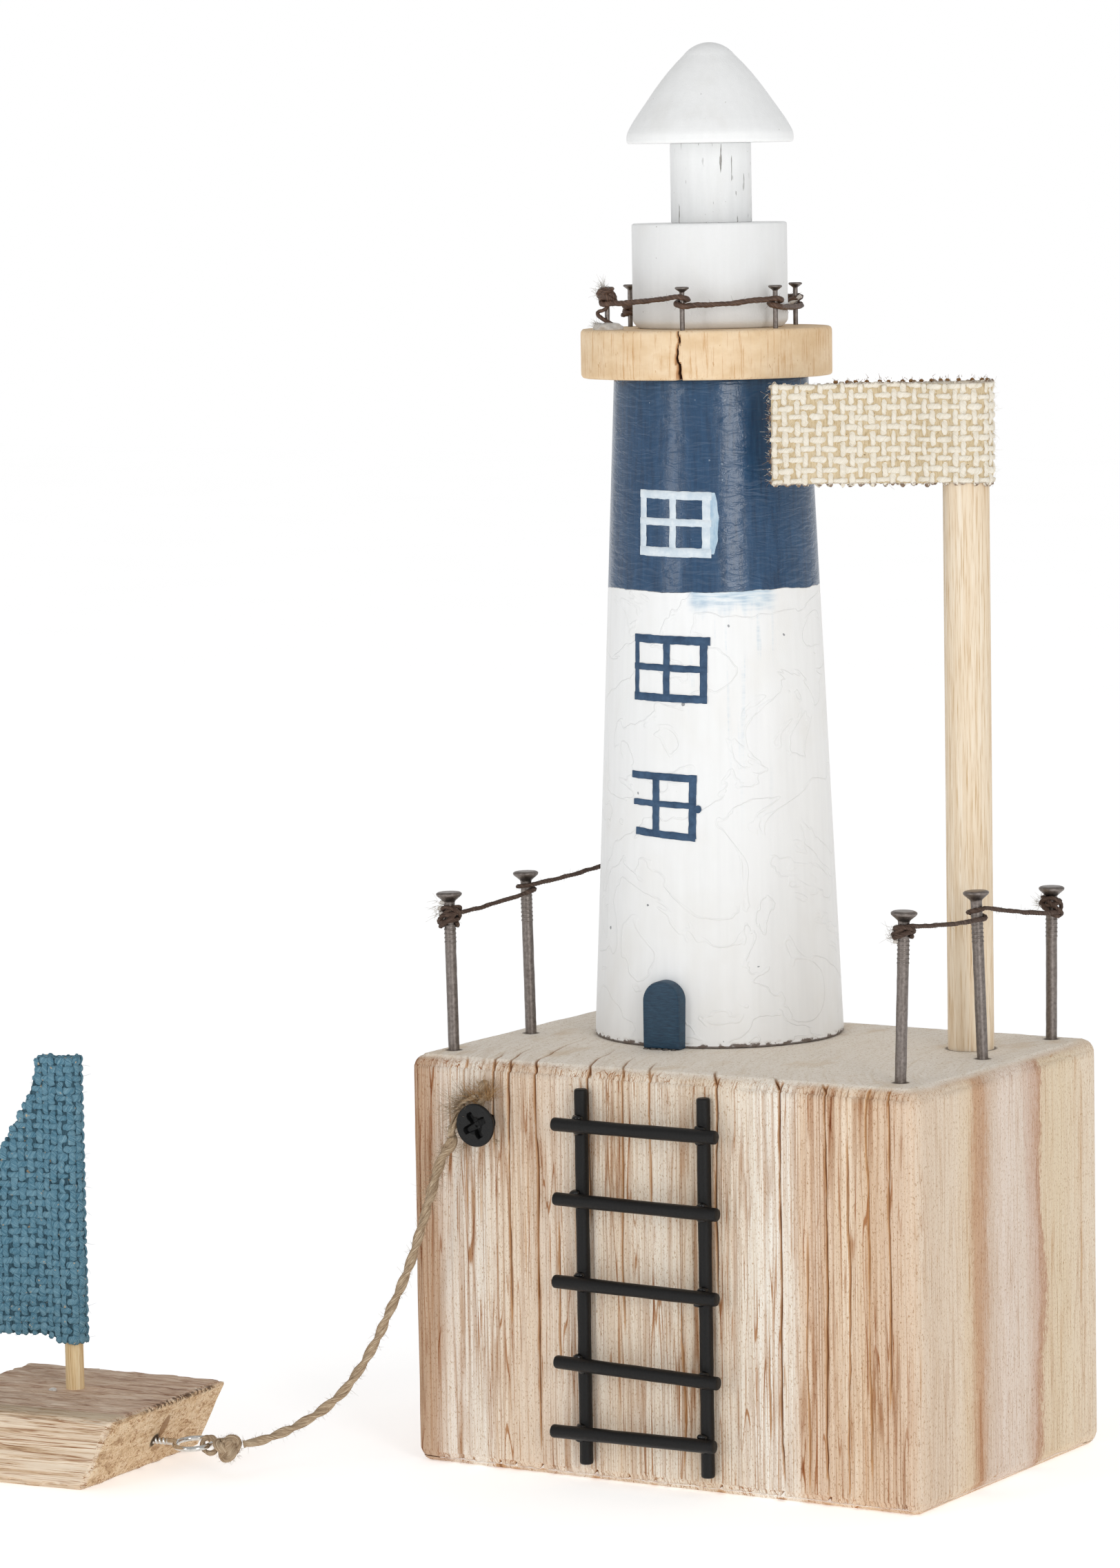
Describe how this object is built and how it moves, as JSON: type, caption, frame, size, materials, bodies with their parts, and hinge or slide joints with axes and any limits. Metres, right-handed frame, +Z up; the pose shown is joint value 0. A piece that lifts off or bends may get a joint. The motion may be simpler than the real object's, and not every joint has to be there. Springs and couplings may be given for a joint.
{
  "type": "lighthouse ornament",
  "caption": "Wooden lighthouse ornament on a block, with a flag on a pole, nail and twine rails, a stick ladder and a small sailboat moored on a jute tether.",
  "frame": {"origin": "middle of the block's underside, on the surface it stands on", "axes": "+Z up along the tower, -Y out of the face that carries the ladder, +X towards the flagpole side"},
  "size_m": [0.2235, 0.147, 0.3025],
  "materials": {
    "block_wood": "wire-brushed softwood, unfinished",
    "dowel_wood": "plain beech dowel",
    "white_paint": "wood under matt white brush paint, with a navy band on the tower",
    "gallery_wood": "sawn softwood disc, unfinished",
    "navy_paint": "wood under navy brush paint",
    "nail_steel": "dull wire nail",
    "brown_twine": "waxed brown twine",
    "hot_glue": "set glue",
    "pole_wood": "plain birch dowel",
    "cream_hessian": "plain-woven hessian",
    "black_sticks": "matt black painted stick",
    "black_steel": "black phosphate screw",
    "jute": "two-ply jute twine",
    "hull_wood": "weathered softwood",
    "mast_wood": "bamboo stick",
    "blue_hessian": "dyed plain-woven hessian",
    "zinc_steel": "bright zinc-plated wire"
  },
  "bodies": {
    "root": {"block": "block_wood", "base_dowel": "dowel_wood", "tower": "white_paint", "centre_dowel": "dowel_wood", "gallery_disc": "gallery_wood", "upper_drum": "white_paint", "lamp_cylinder": "white_paint", "roof": "white_paint", "door": "navy_paint", "gallery_nails": "nail_steel", "gallery_twine": "brown_twine", "gallery_glue": "hot_glue", "left_rail_nails": "nail_steel", "left_rail_twine": "brown_twine", "right_rail_nails": "nail_steel", "right_rail_twine": "brown_twine", "flagpole": "pole_wood", "flag": "cream_hessian", "ladder_stile_left": "black_sticks", "ladder_stile_right": "black_sticks", "ladder_rung_1": "black_sticks", "ladder_rung_2": "black_sticks", "ladder_rung_3": "black_sticks", "ladder_rung_4": "black_sticks", "ladder_rung_5": "black_sticks", "tether_screw": "black_steel", "tether_wrap": "jute"},
    "tether": {"tether": "jute", "tether_knot": "jute"},
    "boat": {"hull": "hull_wood", "mast": "mast_wood", "sail": "blue_hessian", "screw_eye": "zinc_steel"}
  },
  "joints": [
    {"name": "tether_swing", "type": "hinge", "parent": "root", "child": "tether", "pos_m": [-0.048, -0.046, 0.072], "axis": [0, 0, 1], "range_deg": [-30, 80]},
    {"name": "boat_yaw", "type": "hinge", "parent": "tether", "child": "boat", "pos_m": [-0.09614, -0.07511, 0.0067], "axis": [0, 0, 1], "range_deg": [-60, 60]}
  ]
}
